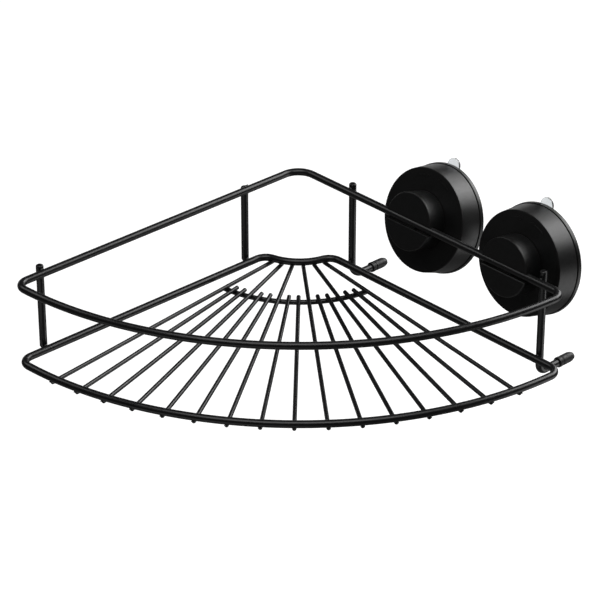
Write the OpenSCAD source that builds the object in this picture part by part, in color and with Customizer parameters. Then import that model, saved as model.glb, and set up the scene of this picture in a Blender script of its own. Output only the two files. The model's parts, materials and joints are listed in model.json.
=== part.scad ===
// Corner shower caddy: a welded wire rack that hangs from two twist-lock suction cups.
// The two wall-side legs meet at a right angle at the back, and a bow closes the front.
// X runs to the right, Y runs to the room's corner, Z runs up.
// The origin is the top rail's centreline at the middle of its back corner bend.

/* [Rack] */
// Length of each wall-side leg, from sharp corner to sharp corner
leg = 250; // [200:1:320]
// Diameter of the rails' and posts' wire with its coat
wire_d = 5.2; // [4:0.1:6]
// Height from the lower ring's centreline to the top rail's
rack_h = 57; // [45:1:90]
// Radius of the front bow
bow_r = 252.3; // [240:0.1:320]
// Bend radius of the top rail's back corner
back_bend = 13.4; // [8:0.1:30]
// Bend radius of the front corners
front_bend = 8.9; // [6:0.1:20]
// Radius of the inward arc at the back of the lower ring
inner_arc_r = 33; // [25:0.5:45]
// Bend radius between the inward arc and the legs
inner_bend = 9.5; // [7:0.5:15]

/* [Posts] */
// Distance of the left back post from the sharp back corner
left_back_post = 47; // [40:0.5:80]
// Distance of the left front post
left_front_post = 226; // [200:0.5:232]
// Distance of the right back post
right_back_post = 48.5; // [40:0.5:70]
// Distance of the right front post
right_front_post = 227; // [200:0.5:232]
// Bend radius of the back right post's foot
back_foot_bend = 10; // [5:0.5:11]
// Bend radius of the front right post's foot
front_foot_bend = 6; // [5:0.5:11]
// Depth of the back bumper's centreline below the lower ring's
back_foot_drop = 11.2; // [11:0.2:20]
// Depth of the front bumper's centreline
front_foot_drop = 12.2; // [11:0.2:20]
// Distance from the leg's centreline to the back bumper's tip
back_reach = 38; // [34:0.5:45]
// Distance to the front bumper's tip
front_reach = 37.5; // [34:0.5:45]
// Length of a rubber bumper
bumper_len = 14.5; // [12:0.5:18]
// Outer diameter of a rubber bumper
bumper_d = 7.2; // [6.6:0.1:9]

/* [Floor] */
// Number of floor wires; every third one is long
floor_wires = 16; // [16]
// Diameter of a floor wire
floor_d = 2.9; // [2:0.1:3.4]
// Angle between neighbouring floor wires at the middle of the fan
fan_pitch = 5.02; // [4.5:0.01:5.06]
// Growth of that angle from each wire to the next, from left to right
fan_growth = 0.022; // [-0.03:0.001:0.03]
// Turn of the whole fan about the vertical
fan_turn = -1.2; // [-1.4:0.1:1]
// Distance of the fan's centre in front of the sharp back corner
fan_centre = 1.4; // [0:0.1:4]
// Distance of the fan's centre to the right of that corner
fan_side = 0.6; // [-1:0.1:1]
// Centreline radius of the crossbar under the short wires' ends
crossbar_r = 77.6; // [60:0.2:120]
// Diameter of the crossbar
crossbar_d = 3.6; // [2.5:0.1:4]

/* [Suction cups] */
// Distance of the first cup from the sharp back corner, along the right leg
cup_1_at = 109.8; // [95:0.1:113]
// Distance of the second cup
cup_2_at = 198.2; // [194:0.1:200]
// Droop of the first cup on the rail, in degrees
cup_1_droop = 15; // [0:0.1:16]
// Droop of the second cup
cup_2_droop = 9; // [0:0.1:9.1]
// Diameter of the knob
knob_d = 40.4; // [36:0.2:44]
// Diameter of the dial's flat face
dial_d = 71.8; // [70:0.2:72.2]
// Diameter of the base rim
rim_d = 77; // [76:0.2:78]
// Angle through which the lock dial turns
lock_turn = 60; // [45:1:75]
// Distance that the dial's whole turn draws the stem in
lock_lift = 2.4; // [2:0.1:2.4]

/* [Hidden] */
$fn = 64;

// Overlap that keeps cutting bodies clear of the faces they cut
eps = 0.5;
// Depth by which welded wires sink into each other
weld_sink = 0.1;
// Height of the collar at a seam in a wire
seam = 0.02;
// Length of that collar
seam_len = 0.6;
// Gap between faces that turn or slide past each other
slip = 0.3;
// Radial clearance of a shaft in its bore
fit = 0.05;

wire_r = wire_d / 2;
floor_r = floor_d / 2;
crossbar_rad = crossbar_d / 2;
half_root = sqrt(0.5);

// Distance of the sharp back corner behind the origin
corner_y = back_bend * (sqrt(2) - 1);
// Distance of the bow's centre behind the sharp back corner
bow_y = sqrt(bow_r * bow_r - leg * leg / 2) - leg * half_root;
// Distance of the inward arc's centre behind the sharp back corner
inner_arc_y = 0.7;

// Offset of a post's centreline outward from the leg's
post_out = wire_d - weld_sink;
// Height of the back posts' tops above the top rail's centreline
back_post_top = [0.1, 4.5];
// Height of the front posts' tops
front_post_top = [4, 6.8];
// Height and depth of the eased edge round a post's top
top_ease = 0.9;
// Length of the pinched lower end of a left post
pinch_len = 1.6;
// Radius of that end's tip
pinch_r = 1.7;
// Depth of the left posts' pinched end below the lower ring's centreline
pinch_drop = 1;
// Length of wire inside a bumper
bumper_grip = 11;
// Radius of the flat on a bumper's tip
bumper_tip_r = 2.4;
// Length over which a bumper tapers to its tip
bumper_taper = 3;

// Height of the floor wires' centreline
floor_z = -rack_h - wire_r - floor_r + weld_sink;
// Height of the crossbar's centreline
crossbar_z = floor_z - floor_r - crossbar_rad + weld_sink;
// Length by which a floor wire passes the bow's centreline
floor_overrun = 0.5;
// Distance of the long wires' back ends from the fan's centre
long_from = 29.1;
// Length by which a short wire passes the crossbar's centreline
short_overrun = 2.6;
// Angle from straight forward to each end of the crossbar
crossbar_half = 39.5;

// Places along a cup's axis, from the rail's centreline to the wall
knob_front = -2.4;
knob_back = 12.3;
knob_edge = 0.5;
dial_front = 12.6;
dial_skin = 2.2;
dial_back = 28.3;
cam_back = 24;
web_front = 24.3;
web_back = 26.3;
flange_front = 28.7;
flange_back = 31.5;
hub_front = 6.5;
stem_front = 14;
pin_at = 20.5;
boss_front = 29;
foot_front = 30;
foot_back = 31.5;
boss_back = 32.9;
pad_face = 33.9;

knob_r = knob_d / 2;
dial_r = dial_d / 2;
rim_r = rim_d / 2;
// Growth of the dial's skirt radius from its face to its rim
skirt_flare = 1;
// Growth of the base rim's radius from its front to the pad
rim_flare = 0.9;
skirt_wall = 2;
hub_r = 10;
hub_bore_r = 7;
cam_r = 14.5;
pin_r = 1.5;
pin_half = 13.8;
stem_foot_r = 12;
boss_r = 15.6;
wall_r = 33;
wall_skin = 2;
pad_r = 36.8;
pad_flat_r = 33.5;
// Chamfer round the pad's edge, on the wall's side
pad_chamfer = 1.1;
// Thickness of the pad at its inner edge
pad_skin = 1.4;
tab_w = 10.5;
tab_r = 43;
tab_skin = 1.6;
rib_count = 6;
rib_skin = 1.6;
rib_depth = 5;

// Snap pocket for the rail
pocket_r = wire_r + 0.15;
mouth_up = 2.1;
mouth_down = 3.9;
clip_skin = 0.95;
clip_len = 12;
// The clip is cut off at this distance in front of the rail's centreline
clip_front = 0.9;
clip_seat_front = 1.4;

// Steps in which the cam groove's curve is cut
cam_steps = 12;

// Distance along a leg at which a bend of radius r inside it has its centre, when that
// centre lies at a distance d from a point y0 behind the sharp corner
function bend_at(r, y0, d) =
    -y0 * half_root + sqrt(d * d - y0 * y0 / 2 - r * r - 2 * half_root * y0 * r);

// Angle from straight forward to a bend's centre, seen from a point y0 behind the corner
function bend_angle(at, r, y0) = atan2(half_root * (at - r), half_root * (at + r) + y0);

front_at = bend_at(front_bend, bow_y, bow_r - front_bend);
front_angle = bend_angle(front_at, front_bend, bow_y);
inner_at = bend_at(inner_bend, inner_arc_y, inner_arc_r + inner_bend);
inner_angle = bend_angle(inner_at, inner_bend, inner_arc_y);

// Angle of floor wire number i, counted from the left, to the right of straight forward
function fan_angle(i) =
    let (u = i - (floor_wires + 1) / 2)
    u * fan_pitch + u * u * fan_growth / 2 + fan_turn;
function is_long(i) = (i - 1) % 3 == 0;

// Distance from the fan's centre, at angle a, to a circle of radius r whose centre lies y
// behind the sharp back corner
function reach(a, y, r) =
    let (back = fan_centre + y, along = fan_side * sin(a) + back * cos(a))
    sqrt(r * r + along * along - fan_side * fan_side - back * back) - along;

// Part of a ring of wire about the vertical, from angle a0 to a1 about +X
module wire_arc(r, a0, a1, wr = wire_r) {
    rotate([0, 0, a0])
        rotate_extrude(angle = a1 - a0)
            translate([r, 0]) circle(wr);
}

// Straight wire along the right leg, from t0 to t1
module leg_wire(t0, t1) {
    rotate([0, 0, -45])
        translate([t0, 0, 0])
            rotate([0, 90, 0]) cylinder(r = wire_r, h = t1 - t0);
}

// Bend of radius r inside the right leg, at distance t along it
module leg_bend(t, r, a0, a1) {
    rotate([0, 0, -45])
        translate([t, -r, 0])
            rotate([0, 0, 45]) wire_arc(r, a0, a1);
}

// Hairline collar over the seam where two lengths of wire meet, along X
module seam_collar() {
    rotate([0, 90, 0]) cylinder(r = wire_r + seam, h = seam_len, center = true);
}

// The collar at distance t along the right leg
module leg_seam(t) {
    rotate([0, 0, -45])
        translate([t, 0, 0]) seam_collar();
}

// The collar on an arc of radius r, at angle a from straight forward
module arc_seam(r, a) {
    rotate([0, 0, a])
        translate([0, -r, 0]) seam_collar();
}

module both_sides() {
    children();
    mirror([1, 0, 0]) children();
}

// Puts its child at distance t along a leg and w outward from it; side is 1 right, -1 left
module at_leg(side, t, w = 0, z = 0) {
    mirror([side < 0 ? 1 : 0, 0, 0])
        translate([0, corner_y, 0])
            rotate([0, 0, -45])
                translate([t, w, z]) children();
}

module top_rail() {
    color([0.07, 0.07, 0.075])
    translate([0, corner_y, 0]) {
        both_sides() {
            leg_wire(back_bend, front_at);
            leg_bend(front_at, front_bend, front_angle - 90, 45);
            leg_seam(back_bend);
            leg_seam(front_at);
            translate([0, bow_y, 0]) arc_seam(bow_r, front_angle);
        }
        translate([0, -back_bend / half_root, 0]) wire_arc(back_bend, 45, 135);
        translate([0, bow_y, 0]) wire_arc(bow_r, -90 - front_angle, front_angle - 90);
    }
}

module bottom_ring() {
    color([0.07, 0.07, 0.075])
    translate([0, corner_y, -rack_h]) {
        both_sides() {
            leg_wire(inner_at, front_at);
            leg_bend(front_at, front_bend, front_angle - 90, 45);
            leg_bend(inner_at, inner_bend, 45, 90 + inner_angle);
            leg_seam(inner_at);
            leg_seam(front_at);
            translate([0, bow_y, 0]) arc_seam(bow_r, front_angle);
            translate([0, inner_arc_y, 0]) arc_seam(inner_arc_r, inner_angle);
        }
        translate([0, inner_arc_y, 0])
            wire_arc(inner_arc_r, -90 - inner_angle, inner_angle - 90);
        translate([0, bow_y, 0]) wire_arc(bow_r, -90 - front_angle, front_angle - 90);
    }
}

// Eased top edge of a post that ends at this height
module eased_top(top) {
    translate([0, 0, top - top_ease])
        cylinder(r1 = wire_r, r2 = wire_r - top_ease, h = top_ease);
}

// Straight post whose lower end is pinched against the ring
module straight_post(side, t, top) {
    pinch_z = -rack_h - pinch_drop;
    color([0.07, 0.07, 0.075])
    at_leg(side, t, post_out) {
        translate([0, 0, pinch_z + pinch_len])
            cylinder(r = wire_r, h = top - top_ease - pinch_z - pinch_len);
        eased_top(top);
        translate([0, 0, pinch_z]) cylinder(r1 = pinch_r, r2 = wire_r, h = pinch_len);
        translate([0, 0, pinch_z]) sphere(pinch_r);
    }
}

// Post that bends outward below the ring and carries a bumper
module bent_post(t, top, bend, drop, tip_reach) {
    foot_z = -rack_h - drop;
    grip_end = tip_reach - bumper_len + bumper_grip;
    color([0.07, 0.07, 0.075])
    at_leg(1, t, post_out) {
        translate([0, 0, foot_z + bend])
            cylinder(r = wire_r, h = top - top_ease - foot_z - bend);
        eased_top(top);
        translate([0, bend, foot_z + bend])
            rotate([0, 90, 0])
                rotate([0, 0, -90])
                    rotate_extrude(angle = 90)
                        translate([bend, 0]) circle(wire_r);
        translate([0, bend, foot_z])
            rotate([-90, 0, 0])
                cylinder(r = wire_r, h = grip_end - post_out - bend);
    }
}

// Rubber cap on the end of a bent post
module bumper(t, drop, tip_reach) {
    color([0.12, 0.12, 0.12])
    at_leg(1, t, tip_reach - bumper_len, -rack_h - drop)
        rotate([-90, 0, 0])
            difference() {
                rotate_extrude()
                    polygon([
                        [0, 0], [bumper_d / 2, 0], [bumper_d / 2, bumper_len - bumper_taper],
                        [bumper_tip_r, bumper_len], [0, bumper_len]
                    ]);
                translate([0, 0, -eps]) cylinder(r = wire_r, h = bumper_grip + eps);
            }
}

// Floor wire number i, counted from the left
module floor_wire(i) {
    a = fan_angle(i);
    from = is_long(i) ? long_from : reach(a, 0, crossbar_r) - short_overrun;
    to = reach(a, bow_y, bow_r) + floor_overrun - floor_r;
    color([0.08, 0.08, 0.085])
    translate([fan_side, corner_y - fan_centre, floor_z])
        rotate([0, 0, a - 90])
            translate([from, 0, 0])
                rotate([0, 90, 0]) {
                    cylinder(r = floor_r, h = to - from);
                    translate([0, 0, to - from]) sphere(floor_r);
                }
}

module crossbar() {
    color([0.08, 0.08, 0.085])
    translate([0, corner_y, crossbar_z])
        wire_arc(crossbar_r, -90 - crossbar_half, crossbar_half - 90, crossbar_rad);
}

// Cup frame: X along the rail to the back corner, Y up the dial, Z to the wall
module at_cup(n) {
    at_leg(1, n == 1 ? cup_1_at : cup_2_at)
        rotate([90 + (n == 1 ? cup_1_droop : cup_2_droop), 0, 180]) children();
}

// Cylinder along the cup frame's X axis
module x_rod(r, len) {
    rotate([0, 90, 0]) cylinder(r = r, h = len, center = true);
}

// Split clip that snaps over the rail inside the knob
module rail_clip(n) {
    outer = wire_r + fit + clip_skin;
    color([0.16, 0.16, 0.17])
    at_cup(n)
        difference() {
            x_rod(outer, clip_len);
            x_rod(wire_r + fit, clip_len + 2 * eps);
            translate([0, 0, -clip_front - wire_d])
                cube([clip_len + 2 * eps, 2 * wire_d, 2 * wire_d], center = true);
        }
}

module knob(n) {
    seat_r = wire_r + 2 * fit + clip_skin;
    seat_len = clip_len + 2 * fit;
    color([0.06, 0.06, 0.065])
    at_cup(n)
        difference() {
            rotate_extrude()
                polygon([
                    [0, knob_front], [knob_r - knob_edge, knob_front],
                    [knob_r, knob_front + knob_edge], [knob_r, knob_back], [0, knob_back]
                ]);
            x_rod(pocket_r, knob_d + 2 * eps);
            intersection() {
                x_rod(seat_r, seat_len);
                translate([-knob_r, -knob_r, -clip_seat_front])
                    cube([knob_d, knob_d, knob_d]);
            }
            translate([-knob_r - eps, -mouth_down, knob_front - eps])
                cube([knob_d + 2 * eps, mouth_up + mouth_down, eps - knob_front + 0.6]);
            translate([0, 0, hub_front]) cylinder(r = hub_r, h = knob_back);
        }
}

// Outer radius of the dial's skirt at height z on the cup's axis
function skirt_r(z) = dial_r + skirt_flare * (z - dial_front) / (dial_back - dial_front);

module lock_dial(n) {
    bore_r = hub_r + fit;
    under = dial_front + dial_skin;
    color([0.05, 0.05, 0.055])
    at_cup(n)
        difference() {
            union() {
                rotate_extrude()
                    polygon([
                        [bore_r, dial_front], [dial_r, dial_front],
                        [skirt_r(dial_back), dial_back],
                        [skirt_r(dial_back) - skirt_wall, dial_back],
                        [skirt_r(under) - skirt_wall, under],
                        [cam_r, under], [cam_r, cam_back], [bore_r, cam_back]
                    ]);
                for (k = [0 : rib_count - 1])
                    rotate([0, 0, 360 / rib_count * k])
                        translate([cam_r - eps, -rib_skin / 2, under - eps])
                            cube([dial_r - skirt_wall - cam_r + eps, rib_skin, rib_depth]);
            }
            for (k = [0 : cam_steps])
                rotate([0, 0, 90 - lock_turn * k / cam_steps])
                    translate([0, 0, pin_at - lock_lift * k / cam_steps])
                        x_rod(pin_r + slip, 2 * cam_r + 2 * eps);
        }
}

// Base: hub tube, web, side wall and the rim that presses on the pad
module base_cup(n) {
    color([0.1, 0.1, 0.105])
    at_cup(n)
        difference() {
            rotate_extrude()
                polygon([
                    [0, hub_front], [hub_r, hub_front], [hub_r, web_front],
                    [wall_r, web_front], [wall_r, flange_front],
                    [rim_r - rim_flare, flange_front], [rim_r, flange_back],
                    [wall_r - wall_skin, flange_back],
                    [wall_r - wall_skin, web_back], [hub_bore_r, web_back],
                    [hub_bore_r, hub_front + dial_skin], [0, hub_front + dial_skin]
                ]);
            slot_w = 2 * (pin_r + slip);
            slot_top = pin_at - lock_lift - pin_r - slip;
            translate([-slot_w / 2, -hub_r - eps, slot_top])
                cube([slot_w, 2 * hub_r + 2 * eps, pin_at + pin_r + slip - slot_top]);
        }
}

// Stem that draws the pad's middle in
module pull_stem(n) {
    color([0.85, 0.85, 0.83])
    at_cup(n)
        difference() {
            union() {
                translate([0, 0, stem_front])
                    cylinder(r = hub_bore_r - fit, h = foot_back - stem_front);
                translate([0, 0, foot_front])
                    cylinder(r = stem_foot_r, h = foot_back - foot_front);
            }
            translate([0, 0, pin_at]) rotate([0, 0, 90]) x_rod(pin_r, 4 * hub_bore_r);
        }
}

module cross_pin(n) {
    color([0.75, 0.75, 0.78])
    at_cup(n)
        translate([0, 0, pin_at]) rotate([0, 0, 90]) x_rod(pin_r, 2 * pin_half);
}

// Thick middle of the clear pad, moulded round the stem's foot
module pad_boss(n) {
    color([0.85, 0.88, 0.9, 0.5])
    at_cup(n)
        difference() {
            translate([0, 0, boss_front]) cylinder(r = boss_r, h = boss_back - boss_front);
            translate([0, 0, boss_front - eps])
                cylinder(r = hub_bore_r - fit, h = foot_front - boss_front + 2 * eps);
            translate([0, 0, foot_front]) cylinder(r = stem_foot_r, h = foot_back - foot_front);
        }
}

// Flexible outer part of the clear pad, with its release tab
module pad_disc(n) {
    inner = boss_r + 2 * slip;
    color([0.85, 0.88, 0.9, 0.5])
    at_cup(n) {
        rotate_extrude()
            polygon([
                [inner, flange_back], [pad_r, flange_back], [pad_r, pad_face - pad_chamfer],
                [pad_r - pad_chamfer, pad_face], [pad_flat_r, pad_face],
                [inner, flange_back + pad_skin]
            ]);
        translate([-tab_w / 2, pad_r - 1, flange_back])
            cube([tab_w, tab_r - pad_r + 1, tab_skin]);
    }
}

top_rail();
bottom_ring();
straight_post(-1, left_back_post, back_post_top[0]);
straight_post(-1, left_front_post, front_post_top[0]);
bent_post(right_back_post, back_post_top[1], back_foot_bend, back_foot_drop, back_reach);
bent_post(right_front_post, front_post_top[1], front_foot_bend, front_foot_drop, front_reach);
bumper(right_back_post, back_foot_drop, back_reach);  // back_bumper
bumper(right_front_post, front_foot_drop, front_reach);  // front_bumper
crossbar();
floor_wire(1);  // floor_wire_01
floor_wire(2);  // floor_wire_02
floor_wire(3);  // floor_wire_03
floor_wire(4);  // floor_wire_04
floor_wire(5);  // floor_wire_05
floor_wire(6);  // floor_wire_06
floor_wire(7);  // floor_wire_07
floor_wire(8);  // floor_wire_08
floor_wire(9);  // floor_wire_09
floor_wire(10);  // floor_wire_10
floor_wire(11);  // floor_wire_11
floor_wire(12);  // floor_wire_12
floor_wire(13);  // floor_wire_13
floor_wire(14);  // floor_wire_14
floor_wire(15);  // floor_wire_15
floor_wire(16);  // floor_wire_16
rail_clip(1);  // rail_clip_1
knob(1);  // knob_1
lock_dial(1);  // lock_dial_1
base_cup(1);  // base_cup_1
pull_stem(1);  // pull_stem_1
cross_pin(1);  // cross_pin_1
pad_boss(1);  // pad_boss_1
pad_disc(1);  // pad_disc_1
rail_clip(2);  // rail_clip_2
knob(2);  // knob_2
lock_dial(2);  // lock_dial_2
base_cup(2);  // base_cup_2
pull_stem(2);  // pull_stem_2
cross_pin(2);  // cross_pin_2
pad_boss(2);  // pad_boss_2
pad_disc(2);  // pad_disc_2
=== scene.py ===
"""Looks of the corner shower caddy: coated wires, welds, twist-lock cups and clear pads.

Shapes are drawn in millimetres, in the rack's frame or in a cup's own frame, and put in place in metres.
"""
import json
import math
import bmesh
import bpy
from mathutils import Matrix, Vector


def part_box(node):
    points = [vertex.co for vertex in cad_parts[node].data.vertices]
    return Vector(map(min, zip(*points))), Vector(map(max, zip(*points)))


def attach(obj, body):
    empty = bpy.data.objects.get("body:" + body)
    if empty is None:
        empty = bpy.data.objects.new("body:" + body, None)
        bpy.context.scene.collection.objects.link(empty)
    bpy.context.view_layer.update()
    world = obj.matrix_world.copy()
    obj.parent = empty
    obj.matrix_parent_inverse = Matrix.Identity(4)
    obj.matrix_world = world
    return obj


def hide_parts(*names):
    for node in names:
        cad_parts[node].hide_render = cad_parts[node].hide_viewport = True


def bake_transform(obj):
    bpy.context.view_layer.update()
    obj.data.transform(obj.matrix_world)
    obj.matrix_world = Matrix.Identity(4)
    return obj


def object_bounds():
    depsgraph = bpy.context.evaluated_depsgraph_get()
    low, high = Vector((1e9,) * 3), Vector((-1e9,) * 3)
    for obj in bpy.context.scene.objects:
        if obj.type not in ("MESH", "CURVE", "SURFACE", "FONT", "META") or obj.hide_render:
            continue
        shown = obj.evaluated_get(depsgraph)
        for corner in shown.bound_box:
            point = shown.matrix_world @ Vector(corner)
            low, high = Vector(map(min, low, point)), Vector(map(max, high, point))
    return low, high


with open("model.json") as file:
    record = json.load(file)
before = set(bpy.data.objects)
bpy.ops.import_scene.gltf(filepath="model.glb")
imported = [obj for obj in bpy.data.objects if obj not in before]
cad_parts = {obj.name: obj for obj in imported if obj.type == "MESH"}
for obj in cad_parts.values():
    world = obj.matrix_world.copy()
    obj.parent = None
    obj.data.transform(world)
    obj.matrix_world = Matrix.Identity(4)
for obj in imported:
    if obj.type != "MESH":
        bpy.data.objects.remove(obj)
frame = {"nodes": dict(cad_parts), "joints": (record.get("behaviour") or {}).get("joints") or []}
cad_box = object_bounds()
nodes = frame["nodes"]
joints = {joint["name"]: joint for joint in frame["joints"]}

MM = 0.001
HALF_ROOT = math.sqrt(0.5)
UP = Vector((0, 0, 1))
RACK = Matrix.Scale(MM, 4)

# ---------------------------------------------------------------- camera and stage

# The camera looks at this point from this distance, azimuth and elevation
CAMERA_AIM = Vector((0.0015, -0.0233, -0.0892))
CAMERA_DISTANCE = 1.9799
CAMERA_AZIMUTH = 2.185
CAMERA_ELEVATION = 28.94
CAMERA_LENS = 168.5
FLOOR_DROP = 0.35
FLOOR_RADIUS = 18.0
FLOOR_SIDES = 96
FLOOR_GLOW = 0.93
# Brightness of the world to the eye, and of the room that the object mirrors: below it, then from the
# horizon up
WHITE_LEVEL = 1.05
ROOM_LOW = 0.16
ROOM_HIGH = 0.03
ROOM_LOW_AT = -0.55


def direction(azimuth, elevation):
    """Unit vector that points from the object to a place at that azimuth and elevation."""
    a, e = math.radians(azimuth), math.radians(elevation)
    return Vector((math.sin(a) * math.cos(e), -math.cos(a) * math.cos(e), math.sin(e)))


def make_camera():
    data = bpy.data.cameras.new("camera")
    data.lens = CAMERA_LENS
    data.clip_start = 0.05
    data.clip_end = 100
    camera = bpy.data.objects.new("camera", data)
    bpy.context.scene.collection.objects.link(camera)
    back = direction(CAMERA_AZIMUTH, CAMERA_ELEVATION)
    camera.location = CAMERA_AIM + back * CAMERA_DISTANCE
    camera.rotation_mode = "QUATERNION"
    camera.rotation_quaternion = (-back).to_track_quat("-Z", "Y")
    bpy.context.scene.camera = camera


# Name, azimuth and elevation in degrees, distance, width and height in metres, and power in watts
SOFTBOXES = (
    ("back_box", 180, -2, 2.6, 4.6, 0.6, 8),
    ("front_low_box", -30, -32, 1.5, 1.6, 0.8, 1.6),
    ("back_right_box", 138, 22, 1.4, 0.8, 0.6, 6),
    ("right_box", 112, 40, 1.4, 0.9, 0.9, 12),
    ("low_right_box", 88, -28, 1.5, 0.9, 0.9, 3.5),
    ("top_box", 0, 68, 1.2, 1.2, 0.8, 7.5),
    ("left_box", -105, 42, 1.5, 0.7, 0.7, 2.5),
)


def softbox(name, azimuth, elevation, distance, width, height, power):
    """Rectangular area light that faces the middle of the object."""
    data = bpy.data.lights.new(name, "AREA")
    data.shape = "RECTANGLE"
    data.size = width
    data.size_y = height
    data.energy = power
    light = bpy.data.objects.new(name, data)
    light.visible_camera = False
    bpy.context.scene.collection.objects.link(light)
    middle = (cad_box[0] + cad_box[1]) / 2
    away = direction(azimuth, elevation)
    light.location = middle + away * distance
    light.rotation_mode = "QUATERNION"
    light.rotation_quaternion = (-away).to_track_quat("-Z", "Y")


def make_world():
    """White to the eye and through clear parts; to the rest a dim room, paler towards its floor."""
    world = bpy.data.worlds.new("studio")
    world.use_nodes = True
    bpy.context.scene.world = world
    tree = world.node_tree
    tree.nodes.clear()
    path = tree.nodes.new("ShaderNodeLightPath")
    seen = tree.nodes.new("ShaderNodeMath")
    seen.operation = "MAXIMUM"
    tree.links.new(path.outputs["Is Camera Ray"], seen.inputs[0])
    tree.links.new(path.outputs["Is Transmission Ray"], seen.inputs[1])
    place = tree.nodes.new("ShaderNodeTexCoord")
    split = tree.nodes.new("ShaderNodeSeparateXYZ")
    tree.links.new(place.outputs["Generated"], split.inputs[0])
    fall = tree.nodes.new("ShaderNodeMapRange")
    fall.inputs["From Min"].default_value = ROOM_LOW_AT
    fall.inputs["From Max"].default_value = 0.0
    fall.inputs["To Min"].default_value = ROOM_LOW
    fall.inputs["To Max"].default_value = ROOM_HIGH
    tree.links.new(split.outputs["Z"], fall.inputs["Value"])
    dim = tree.nodes.new("ShaderNodeBackground")
    dim.inputs["Color"].default_value = (1, 1, 1, 1)
    tree.links.new(fall.outputs["Result"], dim.inputs["Strength"])
    white = tree.nodes.new("ShaderNodeBackground")
    white.inputs["Color"].default_value = (1, 1, 1, 1)
    white.inputs["Strength"].default_value = WHITE_LEVEL
    mix = tree.nodes.new("ShaderNodeMixShader")
    tree.links.new(seen.outputs[0], mix.inputs[0])
    tree.links.new(dim.outputs[0], mix.inputs[1])
    tree.links.new(white.outputs[0], mix.inputs[2])
    out = tree.nodes.new("ShaderNodeOutputWorld")
    tree.links.new(mix.outputs[0], out.inputs["Surface"])
    bpy.context.scene.view_settings.view_transform = "Standard"


def make_floor():
    """Plain pale round floor, well below the hanging rack."""
    low = Vector((0, 0, cad_box[0].z - FLOOR_DROP))
    edge = ring_of(low, Vector((1, 0, 0)), Vector((0, 1, 0)), FLOOR_RADIUS, FLOOR_SIDES)
    data = bpy.data.meshes.new("floor")
    data.from_pydata(edge, [], [tuple(range(FLOOR_SIDES))])
    floor = bpy.data.objects.new("floor", data)
    bpy.context.scene.collection.objects.link(floor)
    pale = bpy.data.materials.new("pale_floor")
    pale.use_nodes = True
    shader = pale.node_tree.nodes["Principled BSDF"]
    shader.inputs["Base Color"].default_value = (0.3, 0.3, 0.3, 1)
    shader.inputs["Roughness"].default_value = 0.9
    shader.inputs["Emission Color"].default_value = (1, 1, 1, 1)
    shader.inputs["Emission Strength"].default_value = FLOOR_GLOW
    data.materials.append(pale)
    floor.visible_glossy = False
    floor.visible_diffuse = False


# ---------------------------------------------------------------- materials

TINT_GRAINS = 12
GLOSS_GRAINS = 5


def surface(name, dark, light, rough, rough_spread, grain, height, sockets):
    """Principled material whose colour, gloss and grain vary in the object's own space.

    grain is the size of the grain in mm, and height its depth in mm. Colour varies over TINT_GRAINS
    grains and gloss over GLOSS_GRAINS.
    """
    made = bpy.data.materials.new(name)
    made.use_nodes = True
    tree = made.node_tree
    shader = tree.nodes["Principled BSDF"]
    place = tree.nodes.new("ShaderNodeTexCoord")

    def noise(size, detail):
        node = tree.nodes.new("ShaderNodeTexNoise")
        node.inputs["Scale"].default_value = 1 / (size * MM)
        node.inputs["Detail"].default_value = detail
        tree.links.new(place.outputs["Object"], node.inputs["Vector"])
        return node.outputs["Fac"]

    tint = tree.nodes.new("ShaderNodeMix")
    tint.data_type = "RGBA"
    tint.inputs["A"].default_value = (*dark, 1)
    tint.inputs["B"].default_value = (*light, 1)
    tree.links.new(noise(grain * TINT_GRAINS, 3), tint.inputs["Factor"])
    tree.links.new(tint.outputs["Result"], shader.inputs["Base Color"])

    gloss = tree.nodes.new("ShaderNodeMapRange")
    gloss.inputs["From Min"].default_value = 0.3
    gloss.inputs["From Max"].default_value = 0.7
    gloss.inputs["To Min"].default_value = rough - rough_spread
    gloss.inputs["To Max"].default_value = rough + rough_spread
    tree.links.new(noise(grain * GLOSS_GRAINS, 2), gloss.inputs["Value"])
    tree.links.new(gloss.outputs["Result"], shader.inputs["Roughness"])

    bump = tree.nodes.new("ShaderNodeBump")
    bump.inputs["Distance"].default_value = height * MM
    bump.inputs["Strength"].default_value = 1
    tree.links.new(noise(grain, 2), bump.inputs["Height"])
    tree.links.new(bump.outputs["Normal"], shader.inputs["Normal"])

    for socket, value in sockets.items():
        shader.inputs[socket].default_value = value
    return made


def grey(value, blue=0.0):
    return (value, value, value + blue)


# Dark and light colour, roughness and its spread, grain and height, and what else the shader needs
SURFACES = {
    "black_coat": (grey(0.005), grey(0.009, 0.001), 0.30, 0.04, 0.9, 0.012, {}),
    "black_plastic": (grey(0.004), grey(0.007), 0.38, 0.04, 0.35, 0.006, {}),
    "base_plastic": (grey(0.006), grey(0.009), 0.34, 0.04, 0.35, 0.006, {}),
    "clip_nylon": (grey(0.006), grey(0.01), 0.5, 0.06, 0.5, 0.008, {}),
    "white_nylon": (grey(0.62), grey(0.72), 0.45, 0.05, 0.6, 0.01, {}),
    "pin_steel": (grey(0.5), grey(0.62), 0.28, 0.08, 0.4, 0.003, {"Metallic": 1.0}),
    "bumper_rubber": (grey(0.008), grey(0.014), 0.5, 0.06, 0.3, 0.01, {}),
    "clear_pad": (
        (0.56, 0.58, 0.59), (0.66, 0.68, 0.69), 0.16, 0.03, 3.0, 0.003,
        {"Transmission Weight": 1.0, "IOR": 1.46},
    ),
}
materials = {slot: surface(slot, *values) for slot, values in SURFACES.items()}

# ---------------------------------------------------------------- mesh tools


def ring_of(centre, side, up, radius, sides):
    """Points of a circle in the plane of side and up."""
    turns = [2 * math.pi * k / sides for k in range(sides)]
    return [centre + (side * math.cos(a) + up * math.sin(a)) * radius for a in turns]


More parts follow.
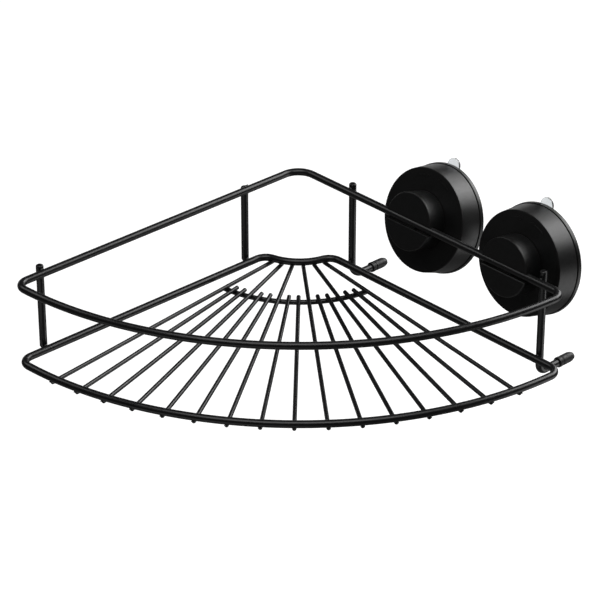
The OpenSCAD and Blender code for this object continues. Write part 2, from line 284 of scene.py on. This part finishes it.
def lathe(profile, sides=160):
    """Rings about the Z axis, one for each (radius, z) of the profile."""
    x, y = Vector((1, 0, 0)), Vector((0, 1, 0))
    return [ring_of(Vector((0, 0, z)), x, y, r, sides) for r, z in profile]


def tube(path, radii, sides=24, closed=False):
    """Rings of a round wire along path; radii is one number or one for each point."""
    count = len(path)
    if not isinstance(radii, list):
        radii = [radii] * count
    rings = []
    side = None
    for i, point in enumerate(path):
        before = path[i - 1] if closed or i > 0 else point
        after = path[(i + 1) % count] if closed or i < count - 1 else point
        along = (after - before).normalized()
        side = along.orthogonal() if side is None else side
        side = (side - along * side.dot(along)).normalized()
        rings.append(ring_of(point, side, along.cross(side), radii[i], sides))
    return rings


def eased(corners, closed=False, steps=3):
    """(r, z) points of an outline whose corners (r, z, ease) are rounded by a curve of that reach."""
    count = len(corners)
    points = []
    for i, (r, z, ease) in enumerate(corners):
        here = Vector((r, z))
        if ease == 0 or (not closed and i in (0, count - 1)):
            points.append((r, z))
            continue
        before = Vector(corners[i - 1][:2])
        after = Vector(corners[(i + 1) % count][:2])
        a = here + (before - here).normalized() * ease
        b = here + (after - here).normalized() * ease
        for k in range(steps + 1):
            t = k / steps
            point = a * (1 - t) ** 2 + here * 2 * t * (1 - t) + b * t * t
            points.append((point.x, point.y))
    return points


def add_loft(mesh, rings, closed):
    """Skins rings of equal length; an open loft is capped at both ends."""
    made = [[mesh.verts.new(p) for p in ring] for ring in rings]
    pairs = list(zip(made, made[1:]))
    if closed:
        pairs.append((made[-1], made[0]))
    for a, b in pairs:
        for k in range(len(a)):
            j = (k + 1) % len(a)
            mesh.faces.new((a[k], a[j], b[j], b[k]))
    if not closed:
        mesh.faces.new(list(reversed(made[0])))
        mesh.faces.new(made[-1])


SHARP = math.radians(42)


def build(name, lofts, place=RACK):
    """Object from lofts, each (rings, closed), moved into place by place."""
    mesh = bmesh.new()
    for rings, closed in lofts:
        add_loft(mesh, rings, closed)
    mesh.transform(place)
    bmesh.ops.recalc_face_normals(mesh, faces=mesh.faces)
    data = bpy.data.meshes.new(name)
    mesh.to_mesh(data)
    mesh.free()
    made = bpy.data.objects.new(name, data)
    bpy.context.scene.collection.objects.link(made)
    return made


def carve(piece, cutter):
    """Cuts cutter out of piece for good."""
    cut = piece.modifiers.new("cut", "BOOLEAN")
    cut.operation = "DIFFERENCE"
    cut.solver = "EXACT"
    cut.object = cutter
    graph = bpy.context.evaluated_depsgraph_get()
    made = bpy.data.meshes.new_from_object(piece.evaluated_get(graph))
    piece.modifiers.clear()
    old = piece.data
    piece.data = made
    bpy.data.meshes.remove(old)
    bpy.data.objects.remove(cutter)


def finish_piece(piece, slot, body, replaced=()):
    """Shades the piece, gives it its material and ties it to its CAD body, if it rides on only one."""
    mesh = bmesh.new()
    mesh.from_mesh(piece.data)
    for face in mesh.faces:
        face.smooth = True
    for edge in mesh.edges:
        edge.smooth = not edge.is_manifold or edge.calc_face_angle() < SHARP
    mesh.to_mesh(piece.data)
    mesh.free()
    weigh = piece.modifiers.new("normals", "WEIGHTED_NORMAL")
    weigh.keep_sharp = True
    piece.data.materials.clear()
    piece.data.materials.append(materials[slot])
    if replaced:
        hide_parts(*replaced)
    if body:
        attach(piece, body)


# ---------------------------------------------------------------- rack

def half_size(node, axis):
    low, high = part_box(node)
    return (high[axis] - low[axis]) / 2 / MM


def middle_z(node):
    low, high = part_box(node)
    return (high.z + low.z) / 2 / MM


LEG = 250.0
BACK_BEND = 13.4
FRONT_BEND = 8.9
BOW_R = 252.3
INNER_ARC_R = 33.0
INNER_ARC_Y = 0.7
INNER_BEND = 9.5
CROSSBAR_R = 77.6
CROSSBAR_HALF = 39.5
WIRE_R = half_size("left_back_post", 0)
FLOOR_R = half_size("floor_wire_08", 2)
BAR_R = half_size("crossbar", 2)
RING_Z = middle_z("bottom_ring")
FLOOR_Z = middle_z("floor_wire_08")
BAR_Z = middle_z("crossbar")
CORNER_Y = BACK_BEND * (math.sqrt(2) - 1)
BOW_Y = math.sqrt(BOW_R ** 2 - LEG ** 2 / 2) - LEG * HALF_ROOT
WELD_SINK = 0.1
STRAIGHT_STEP = 5.0
ARC_STEP = 3.0
ARC_TURN = 7.0


def arc(centre, radius, start, end):
    """Points of an arc; angles are in degrees from straight forward, + to the right."""
    swept = abs(end - start)
    steps = max(3, math.ceil(math.radians(swept) * radius / ARC_STEP), round(swept / ARC_TURN))
    turns = [math.radians(start + (end - start) * k / steps) for k in range(steps + 1)]
    return [centre + Vector((math.sin(a), -math.cos(a), 0)) * radius for a in turns]


def with_straights(path):
    """Adds points along the long straights of a closed path."""
    points = []
    for a, b in zip(path, path[1:] + path[:1]):
        steps = max(1, round((b - a).length / STRAIGHT_STEP))
        points += [a.lerp(b, k / steps) for k in range(steps)]
    return points


def leg_point(side, t, w=0.0, z=0.0):
    """Point at distance t along a leg and w outward from it; side is 1 right, -1 left."""
    return Vector((side * (t + w) * HALF_ROOT, CORNER_Y + (w - t) * HALF_ROOT, z))


def bend_at(radius, centre_y, distance):
    """Distance along a leg of a bend whose centre lies at a distance from (0, centre_y)."""
    root = distance ** 2 - centre_y ** 2 / 2 - radius ** 2 - 2 * HALF_ROOT * centre_y * radius
    return math.sqrt(root) - centre_y * HALF_ROOT


def bend_angle(at, radius, centre_y):
    """Angle from straight forward to that bend's centre."""
    return math.degrees(math.atan2(HALF_ROOT * (at - radius), HALF_ROOT * (at + radius) + centre_y))


def ring_path(z, back):
    """Closed path of a ring; back gives the points at the back, from left to right."""
    front_at = bend_at(FRONT_BEND, BOW_Y, BOW_R - FRONT_BEND)
    front_angle = bend_angle(front_at, FRONT_BEND, BOW_Y)
    right = leg_point(1, front_at, -FRONT_BEND, z)
    left = leg_point(-1, front_at, -FRONT_BEND, z)
    path = list(back)
    path += arc(right, FRONT_BEND, 135, front_angle)
    path += arc(Vector((0, CORNER_Y + BOW_Y, z)), BOW_R, front_angle, -front_angle)[1:-1]
    path += arc(left, FRONT_BEND, -front_angle, -135)
    return with_straights(path)


def top_back():
    centre = Vector((0, CORNER_Y - BACK_BEND / HALF_ROOT, 0))
    return arc(centre, BACK_BEND, -135, -225)


def inner_back(z):
    at = bend_at(INNER_BEND, INNER_ARC_Y, INNER_ARC_R + INNER_BEND)
    angle = bend_angle(at, INNER_BEND, INNER_ARC_Y)
    centre = Vector((0, CORNER_Y + INNER_ARC_Y, z))
    left = leg_point(-1, at, -INNER_BEND, z)
    right = leg_point(1, at, -INNER_BEND, z)
    path = arc(left, INNER_BEND, -135, -180 - angle)
    path += arc(centre, INNER_ARC_R, -angle, angle)[1:-1]
    path += arc(right, INNER_BEND, 180 + angle, 135)
    return path


def rod(start, end, profile, sides):
    """Rings of a turned rod; profile gives (radius, distance from start)."""
    along = (end - start).normalized()
    side = along.orthogonal().normalized()
    up = along.cross(side)
    return [ring_of(start + along * s, side, up, r, sides) for r, s in profile]


# Angles, in degrees, of the rings of a round end, from its edge to near its tip
DOME_TURNS = (0, 22, 42, 60, 75, 86)


def dome(radius, at):
    """Profile of a round end whose tip lies at a distance from the start."""
    turns = [math.radians(a) for a in DOME_TURNS]
    return [(radius * math.cos(a), at - radius * (1 - math.sin(a))) for a in turns]


FAN_PITCH = 5.02
FAN_GROWTH = 0.022
FAN_TURN = -1.2
FAN_CENTRE = Vector((0.6, CORNER_Y - 1.4, FLOOR_Z))
FLOOR_WIRES = 16
CUT_EASE = 0.25


def fan_wire(number):
    """Start, end and direction of a floor wire; the ends come from its CAD node's box."""
    place = number - (FLOOR_WIRES + 1) / 2
    turn = math.radians(place * FAN_PITCH + place ** 2 * FAN_GROWTH / 2 + FAN_TURN)
    ahead = Vector((math.sin(turn), -math.cos(turn), 0))
    low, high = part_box(f"floor_wire_{number:02d}")
    across = FLOOR_R * abs(ahead.x)
    start = (FAN_CENTRE.y - high.y / MM + across) / -ahead.y
    end = (FAN_CENTRE.y - low.y / MM - FLOOR_R) / -ahead.y
    return FAN_CENTRE + ahead * start, FAN_CENTRE + ahead * (end + FLOOR_R), ahead


def crossings(path, start, end, closed):
    """Where the level line from start to end crosses a path: (point on the line, path's direction)."""
    ahead = (end - start).normalized()
    aside = UP.cross(ahead)
    length = (end - start).length
    found = []
    pairs = list(zip(path, path[1:])) + ([(path[-1], path[0])] if closed else [])
    for a, b in pairs:
        sa, sb = (a - start).dot(aside), (b - start).dot(aside)
        if (sa < 0) == (sb < 0):
            continue
        at = a.lerp(b, sa / (sa - sb))
        reach = (at - start).dot(ahead)
        if 0 <= reach <= length:
            found.append((start + ahead * reach, (b - a).normalized()))
    return found


WELD_STEPS = 40
WELD_SLICES = 6
WELD_RISE = 0.08
WELD_SHRINK = 0.96
# Farthest that a fillet may reach round a wire, as a share of its radius
WELD_WRAP = 0.98


def weld(centre, normal, along_a, r_a, along_b, r_b, reach, gap):
    """Rings of the fillet where wire a, on the normal's side, lies across wire b.

    It ends at reach from the centre, or where the wires' surfaces stand gap apart if that is nearer.
    """
    aside = normal.cross(along_a)
    rings = [[] for _ in range(WELD_SLICES + 1)]

    def lift(out, along, radius, distance):
        s = min(out.cross(along).length * distance, radius * WELD_WRAP)
        return radius - math.sqrt(radius ** 2 - s ** 2)

    for k in range(WELD_STEPS):
        turn = 2 * math.pi * k / WELD_STEPS
        out = along_a * math.cos(turn) + aside * math.sin(turn)
        far = reach
        while lift(out, along_a, r_a, far) + lift(out, along_b, r_b, far) > gap:
            far *= WELD_SHRINK
        top = out * far + normal * (lift(out, along_a, r_a, far) + WELD_RISE)
        low = out * far - normal * (lift(out, along_b, r_b, far) + WELD_RISE)
        waist = out * far * 0.5 + (top + low).project(normal) * 0.5
        for j in range(WELD_SLICES + 1):
            t = j / WELD_SLICES
            point = top * (1 - t) ** 2 + waist * 2 * t * (1 - t) + low * t * t
            rings[j].append(centre + point)
    return rings


# Reach and gap of the fillets under the floor wires, at the crossbar and at the posts
RING_WELD = (2.3, 1.1)
BAR_WELD = (2.0, 0.9)
POST_WELD = (2.6, 1.5)
ROD_STEP = 5
ROD_END = 3


def straight_stations(first, length):
    """Distances of the rings along a rod's plain stretch, from the first to near its far end."""
    return range(first, int(length) - ROD_END, ROD_STEP)


def make_rack():
    top_path = ring_path(0.0, top_back())
    low_path = ring_path(RING_Z, inner_back(RING_Z))
    for name, node, path in (
        ("top_rail_wire", "top_rail", top_path),
        ("bottom_ring_wire", "bottom_ring", low_path),
    ):
        piece = build(name, [(tube(path, WIRE_R, closed=True), True)])
        finish_piece(piece, "black_coat", "rack", [node])

    bar_centre = Vector((0, CORNER_Y, BAR_Z))
    bar_path = arc(bar_centre, CROSSBAR_R, -CROSSBAR_HALF, CROSSBAR_HALF)
    piece = build("crossbar_wire", [(tube(bar_path, BAR_R, sides=20), False)])
    finish_piece(piece, "black_coat", "rack", ["crossbar"])

    welds = []
    for number in range(1, FLOOR_WIRES + 1):
        start, end, ahead = fan_wire(number)
        length = (end - start).length
        profile = [(FLOOR_R - CUT_EASE, 0), (FLOOR_R, CUT_EASE)]
        profile += [(FLOOR_R, s) for s in straight_stations(ROD_STEP, length)]
        profile += dome(FLOOR_R, length)
        piece = build(f"floor_rod_{number:02d}", [(rod(start, end, profile, 16), False)])
        finish_piece(piece, "black_coat", "rack", [f"floor_wire_{number:02d}"])
        for point, along in crossings(low_path, start, end, True):
            centre = point + UP * (FLOOR_R - WELD_SINK / 2)
            welds.append(weld(centre, -UP, ahead, FLOOR_R, along, WIRE_R, *RING_WELD))
        for point, along in crossings(bar_path, start, end, False):
            centre = point - UP * (FLOOR_R - WELD_SINK / 2)
            welds.append(weld(centre, UP, ahead, FLOOR_R, along, BAR_R, *BAR_WELD))
    piece = build("floor_welds", [(rings, False) for rings in welds])
    finish_piece(piece, "black_coat", "rack")


# ---------------------------------------------------------------- posts

POST_OUT = 2 * WIRE_R - WELD_SINK
FOOT_BEND = {"right_back_post": 10.0, "right_front_post": 6.0}
REACH = {"right_back_post": 38.0, "right_front_post": 37.5}
PINCH_LEN = 1.6
PINCH_R = 1.7
# Angles, in radians, of the rings round the blunt tip of a pinched end
PINCH_TURNS = (0.15, 0.5, 0.9, 1.3)
PINCH_END = 9
FOOT_STEP = 9
BUMPER_LEN = 14.5
BUMPER_GRIP = 11.0
BUMPER_R = 3.6
BUMPER_TIP_R = 2.4
BUMPER_TAPER = 3.0
BUMPER_BEAD = 2.4
GROOVE_R = BUMPER_R - 0.4
GROOVE_END = 4.0
DIMPLE_R = 0.9
DIMPLE_DEEP = 0.35
# Depths below a post's top of its domed edge's rings, and how far they lie inside the wire
TOP_EDGE = [(0.0, 1.3), (0.16, 0.62), (0.45, 0.26), (0.9, 0.0)]


def post_place(node):
    """Side and distance along its leg of a post, from its CAD node's box at the top rail."""
    low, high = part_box(node)
    side = 1 if low.x > 0 else -1
    inner_x = (low.x if side > 0 else high.x) / MM
    return side, (inner_x * side + WIRE_R) / HALF_ROOT - POST_OUT


def straight_post(axis, bottom, top):
    """Rings of a left post, pinched to a blunt tip below and domed above."""
    length = top - bottom
    profile = [(PINCH_R * math.sin(a), PINCH_R * (1 - math.cos(a))) for a in PINCH_TURNS]
    profile += [(PINCH_R, PINCH_R), (WIRE_R, PINCH_R + PINCH_LEN)]
    profile += [(WIRE_R, s) for s in straight_stations(PINCH_END, length)]
    profile += [(WIRE_R - inset, length - depth) for depth, inset in reversed(TOP_EDGE)]
    return rod(axis + UP * bottom, axis + UP * top, profile, 24)


def bent_post(axis, bottom, top, bend, reach):
    """Rings of a right post, which bends outward at its foot and ends inside its bumper."""
    outward = Vector((HALF_ROOT, HALF_ROOT, 0))
    head = axis + UP * top
    foot = axis + UP * (bottom + WIRE_R)
    centre = foot + (outward + UP) * bend
    end = foot + outward * (reach - BUMPER_LEN + BUMPER_GRIP - POST_OUT)
    path = [head - UP * depth for depth, _ in TOP_EDGE]
    radii = [WIRE_R - inset for _, inset in TOP_EDGE]
    steps = range(1, int((head.z - centre.z) / ROD_STEP))
    path += [path[-1] - UP * ROD_STEP * k for k in steps]
    turns = [math.radians(a) for a in range(0, 91, FOOT_STEP)]
    path += [centre - outward * bend * math.cos(a) - UP * bend * math.sin(a) for a in turns]
    path += [path[-1].lerp(end, k / 3) for k in (1, 2, 3)]
    radii += [WIRE_R] * (len(path) - len(radii))
    return tube(path, radii)


def make_posts():
    welds = []
    for node in ("left_back_post", "left_front_post", "right_back_post", "right_front_post"):
        side, t = post_place(node)
        low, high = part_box(node)
        axis = leg_point(side, t, POST_OUT)
        if side < 0:
            rings = straight_post(axis, low.z / MM, high.z / MM)
        else:
            rings = bent_post(axis, low.z / MM, high.z / MM, FOOT_BEND[node], REACH[node])
        piece = build(node + "_wire", [(rings, False)])
        finish_piece(piece, "black_coat", "rack", [node])
        outward = Vector((side * HALF_ROOT, HALF_ROOT, 0))
        along = Vector((side * HALF_ROOT, -HALF_ROOT, 0))
        for z in (0.0, RING_Z):
            centre = leg_point(side, t, POST_OUT / 2, z)
            welds.append(weld(centre, outward, UP, WIRE_R, along, WIRE_R, *POST_WELD))
    piece = build("post_welds", [(rings, False) for rings in welds])
    finish_piece(piece, "black_coat", "rack")


def make_bumpers():
    """Rubber caps: thin open lip, soft tapered tip and a dimple left by the mould."""
    for node, post in (("back_bumper", "right_back_post"), ("front_bumper", "right_front_post")):
        side, t = post_place(post)
        low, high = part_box(node)
        z = (low.z + high.z) / 2 / MM
        start = leg_point(side, t, REACH[post] - BUMPER_LEN, z)
        end = leg_point(side, t, REACH[post], z)
        outline = [
            (WIRE_R + 0.02, 2.0, 0), (WIRE_R + 0.02, 0, 0.1), (BUMPER_R, 0, 0.35),
            (BUMPER_R, BUMPER_BEAD, 0.2), (GROOVE_R, BUMPER_BEAD + 0.3, 0.15),
            (GROOVE_R, GROOVE_END - 0.4, 0.15), (BUMPER_R - 0.1, GROOVE_END, 0.2),
            (BUMPER_R - 0.1, BUMPER_LEN - BUMPER_TAPER, 1.4), (BUMPER_TIP_R, BUMPER_LEN, 0.7),
            (DIMPLE_R, BUMPER_LEN, 0.2), (DIMPLE_R - 0.3, BUMPER_LEN - DIMPLE_DEEP, 0),
        ]
        piece = build(node + "_rubber", [(rod(start, end, eased(outline), 32), False)])
        finish_piece(piece, "bumper_rubber", "rack", [node])


# ---------------------------------------------------------------- cups


def cup_place(k):
    """Cup frame: X along the rail to the back, Y up the dial, Z to the wall; in mm."""
    swivel, twist = joints[f"cup_{k}_swivel"], joints[f"dial_{k}_twist"]
    x = -Vector(swivel["axis"]).normalized()
    z = Vector(twist["axis"]).normalized()
    y = z.cross(x)
    turn = Matrix((x, y, z)).transposed().to_4x4()
    return Matrix.Translation(Vector(swivel["pos_m"])) @ turn @ Matrix.Scale(MM, 4)


def x_prism(outline, half_length):
    """Rings of a bar along X whose section is the outline of (y, z) points."""
    return [[Vector((x, y, z)) for y, z in outline] for x in (-half_length, half_length)]


def circle_part(radius, start, end, steps):
    """(y, z) points of part of a circle; angles in degrees from +Y towards +Z."""
    turns = [math.radians(start + (end - start) * k / steps) for k in range(steps + 1)]
    return [(radius * math.cos(a), radius * math.sin(a)) for a in turns]


KNOB_FRONT = -2.4
KNOB_R = 20.2
KNOB_FACE_R = 14.0
KNOB_BACK = 12.3
BORE_R = 10.0
BORE_FRONT = 6.5
MOUTH_UP = 2.1
MOUTH_DOWN = 3.9
MOUTH_DEEP = 0.6
GROOVE_HALF = 25.0
POCKET_R = WIRE_R + 0.15
SEAT_R = WIRE_R + 1.05
SEAT_HALF = 6.05
SEAT_FRONT = -1.4
LIP = 0.3


def make_knob(k, place):
    profile = eased([
        (KNOB_FACE_R, KNOB_FRONT, 0), (KNOB_R, KNOB_FRONT, 0.9), (KNOB_R, KNOB_BACK, 0.3),
        (BORE_R, KNOB_BACK, 0.2), (BORE_R, BORE_FRONT, 0),
    ])
    piece = build(f"knob_shell_{k}", [(lathe(profile, 128), False)], place)
    rise = math.degrees(math.asin(MOUTH_DEEP / POCKET_R))
    groove = [(-MOUTH_DOWN - 2 * LIP, KNOB_FRONT - LIP), (-MOUTH_DOWN, KNOB_FRONT + LIP)]
    groove += [(-MOUTH_DOWN, MOUTH_DEEP)]
    groove += circle_part(POCKET_R, 180 - rise, rise, 24)
    groove += [(MOUTH_UP, MOUTH_DEEP), (MOUTH_UP, KNOB_FRONT + LIP), (MOUTH_UP + 2 * LIP, KNOB_FRONT - LIP)]
    carve(piece, build("groove_cutter", [(x_prism(groove, GROOVE_HALF), False)], place))
    low = math.degrees(math.asin(SEAT_FRONT / SEAT_R))
    seat = circle_part(SEAT_R, low, 180 - low, 32)
    carve(piece, build("seat_cutter", [(x_prism(seat, SEAT_HALF), False)], place))
    finish_piece(piece, "black_plastic", f"cup_{k}", [f"knob_{k}"])


DIAL_FRONT = 12.6
DIAL_R = 35.9
DIAL_BACK = 28.3
FLARE = 1.5
DIAL_WALL = 2.0
FACE_BACK = 14.8
SLEEVE_R = 10.05
SLEEVE_OUT_R = 14.5
SLEEVE_BACK = 24.0
# Raised arrows on the dial's face: where each starts and ends, in degrees from +X towards +Y
ARROWS = ((68, 86), (121, 98))
MARK_R = 31.0
MARK_RISE = 0.3
MARK_SINK = 0.2
MARK_EASE = 0.1
SHAFT_HALF = 0.55
SHAFT_STEPS = 8
HEAD_TURN = 6.0
HEAD_HALF = 1.43
HEAD_MIDDLE_HALF = 0.77
TIP_HALF = 0.12


def arrow(start, end):
    """Rings of an arrow that runs round the dial's face from start to end."""
    head = math.copysign(HEAD_TURN, end - start)
    shaft = end - head - start
    stations = [(start + shaft * k / SHAFT_STEPS, SHAFT_HALF) for k in range(SHAFT_STEPS + 1)]
    stations += [(end - head, HEAD_HALF), (end - head / 2, HEAD_MIDDLE_HALF), (end, TIP_HALF)]
    front, back = DIAL_FRONT - MARK_RISE, DIAL_FRONT + MARK_SINK
    rings = []
    for degrees, half in stations:
        a = math.radians(degrees)
        out = Vector((math.cos(a), math.sin(a), 0))
        rings.append([
            out * (MARK_R - half) + UP * back, out * (MARK_R - half + MARK_EASE) + UP * front,
            out * (MARK_R + half - MARK_EASE) + UP * front, out * (MARK_R + half) + UP * back,
        ])
    return rings


def make_dial(k, place):
    profile = eased([
        (SLEEVE_R, DIAL_FRONT, 0.2), (DIAL_R, DIAL_FRONT, 0.45), (DIAL_R + FLARE, DIAL_BACK, 0.3),
        (DIAL_R + FLARE - DIAL_WALL, DIAL_BACK, 0.3), (DIAL_R - 1.87, FACE_BACK, 0.8),
        (SLEEVE_OUT_R, FACE_BACK, 0.8), (SLEEVE_OUT_R, SLEEVE_BACK, 0.3), (SLEEVE_R, SLEEVE_BACK, 0.3),
    ], closed=True)
    lofts = [(lathe(profile), True)] + [(arrow(start, end), False) for start, end in ARROWS]
    piece = build(f"dial_shell_{k}", lofts, place)
    finish_piece(piece, "black_plastic", f"dial_{k}", [f"lock_dial_{k}"])


# Hub that fills the knob's bore, web behind the dial, and rim that shows behind the dial's skirt
HUB_IN_R = 7.0
HUB_FLOOR = 8.7
WEB_FRONT = 24.3
WEB_BACK = 26.3
RIM_IN_R = 31.0
RIM_STEP_R = 33.0
RIM_R = 37.9
RIM_FLARE_R = 38.2
RIM_FRONT = 28.7
RIM_BACK = 31.5
SLOT_HALF = 1.8
SLOT_LOW = 16.3
SLOT_HIGH = 22.3
SLOT_REACH = 12


def make_base(k, place):
    profile = eased([
        (5.0, BORE_FRONT, 0), (BORE_R, BORE_FRONT, 0.4), (BORE_R, WEB_FRONT, 0.6),
        (RIM_STEP_R, WEB_FRONT, 0.6), (RIM_STEP_R, RIM_FRONT, 0.3), (RIM_R, RIM_FRONT, 0.3),
        (RIM_FLARE_R, RIM_BACK, 0.3), (RIM_IN_R, RIM_BACK, 0.3), (RIM_IN_R, WEB_BACK, 0.6),
        (HUB_IN_R, WEB_BACK, 0.3), (HUB_IN_R, HUB_FLOOR, 0.3), (3.0, HUB_FLOOR, 0),
    ])
    piece = build(f"base_shell_{k}", [(lathe(profile), False)], place)
    low, high = (-SLOT_REACH, SLOT_LOW), (SLOT_REACH, SLOT_HIGH)
    corners = [low, (high[0], low[1]), high, (low[0], high[1])]
    carve(piece, build("slot_cutter", [(x_prism(corners, SLOT_HALF), False)], place))
    finish_piece(piece, "base_plastic", f"cup_{k}", [f"base_cup_{k}"])


# The lip lies just behind the rim's back, and its sealing edge is its proud ring
PAD_FRONT = 31.56
PAD_FACE = 33.9
PAD_R = 36.8
BOSS_R = 15.6
BOSS_FRONT = 29.0
BOSS_BACK = 32.9
LIP_IN_R = 15.7
TAB_HALF = 5.25
TAB_R = 43.0
TAB_ROOT = 1.5
TAB_FRONT = 31.55
TAB_BACK = 33.1
TAB_STEPS = 8


def tab_rings():
    """Rings of the round-ended release tab, from inside the lip outward."""
    bulge = TAB_R - TAB_HALF
    root = PAD_R - TAB_ROOT
    rings = []
    for step in range(TAB_STEPS + 1):
        y = root + (TAB_R - root) * step / TAB_STEPS
        half = TAB_HALF if y <= bulge else math.sqrt(max(TAB_HALF ** 2 - (y - bulge) ** 2, 0.04))
        corners = [(-half, TAB_FRONT), (half, TAB_FRONT), (half, TAB_BACK), (-half, TAB_BACK)]
        rings.append([Vector((x, y, z)) for x, z in corners])
    return rings


def make_pad(k, place):
    """Clear pad: a boss that moves with the stem, and a lip and tab that are tied to no body."""
    boss = eased([
        (HUB_IN_R, BOSS_FRONT, 0), (BOSS_R, BOSS_FRONT, 0.8),
        (BOSS_R, BOSS_BACK, 1.2), (6.0, BOSS_BACK, 0),
    ], steps=4)
    piece = build(f"pad_middle_{k}", [(lathe(boss, 96), False)], place)
    finish_piece(piece, "clear_pad", f"stem_{k}", [f"pad_boss_{k}"])

    lip = eased([
        (LIP_IN_R, 29.1, 0.1), (22.0, 29.9, 2.0), (30.6, PAD_FRONT, 1.0), (PAD_R, PAD_FRONT, 0.4),
        (PAD_R, 32.8, 0.5), (35.7, PAD_FACE, 0.5), (33.5, PAD_FACE, 0.6),
        (30.4, 32.6, 1.0), (22.0, 30.8, 2.0), (LIP_IN_R, 29.9, 0.1),
    ], closed=True, steps=4)
    piece = build(f"pad_lip_{k}", [(lathe(lip), True), (tab_rings(), False)], place)
    finish_piece(piece, "clear_pad", None, [f"pad_disc_{k}"])
    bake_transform(piece)


def make_cups():
    for k in (1, 2):
        place = cup_place(k)
        make_knob(k, place)
        make_dial(k, place)
        make_base(k, place)
        make_pad(k, place)


def finish_nodes():
    """Carried-over CAD nodes take their slot's material."""
    slots = {"rail_clip": "clip_nylon", "pull_stem": "white_nylon", "cross_pin": "pin_steel"}
    for name, slot in slots.items():
        for k in (1, 2):
            node = nodes[f"{name}_{k}"]
            node.data.materials.clear()
            node.data.materials.append(materials[slot])


make_camera()
make_world()
make_floor()
for light in SOFTBOXES:
    softbox(*light)
make_rack()
make_posts()
make_bumpers()
make_cups()
finish_nodes()
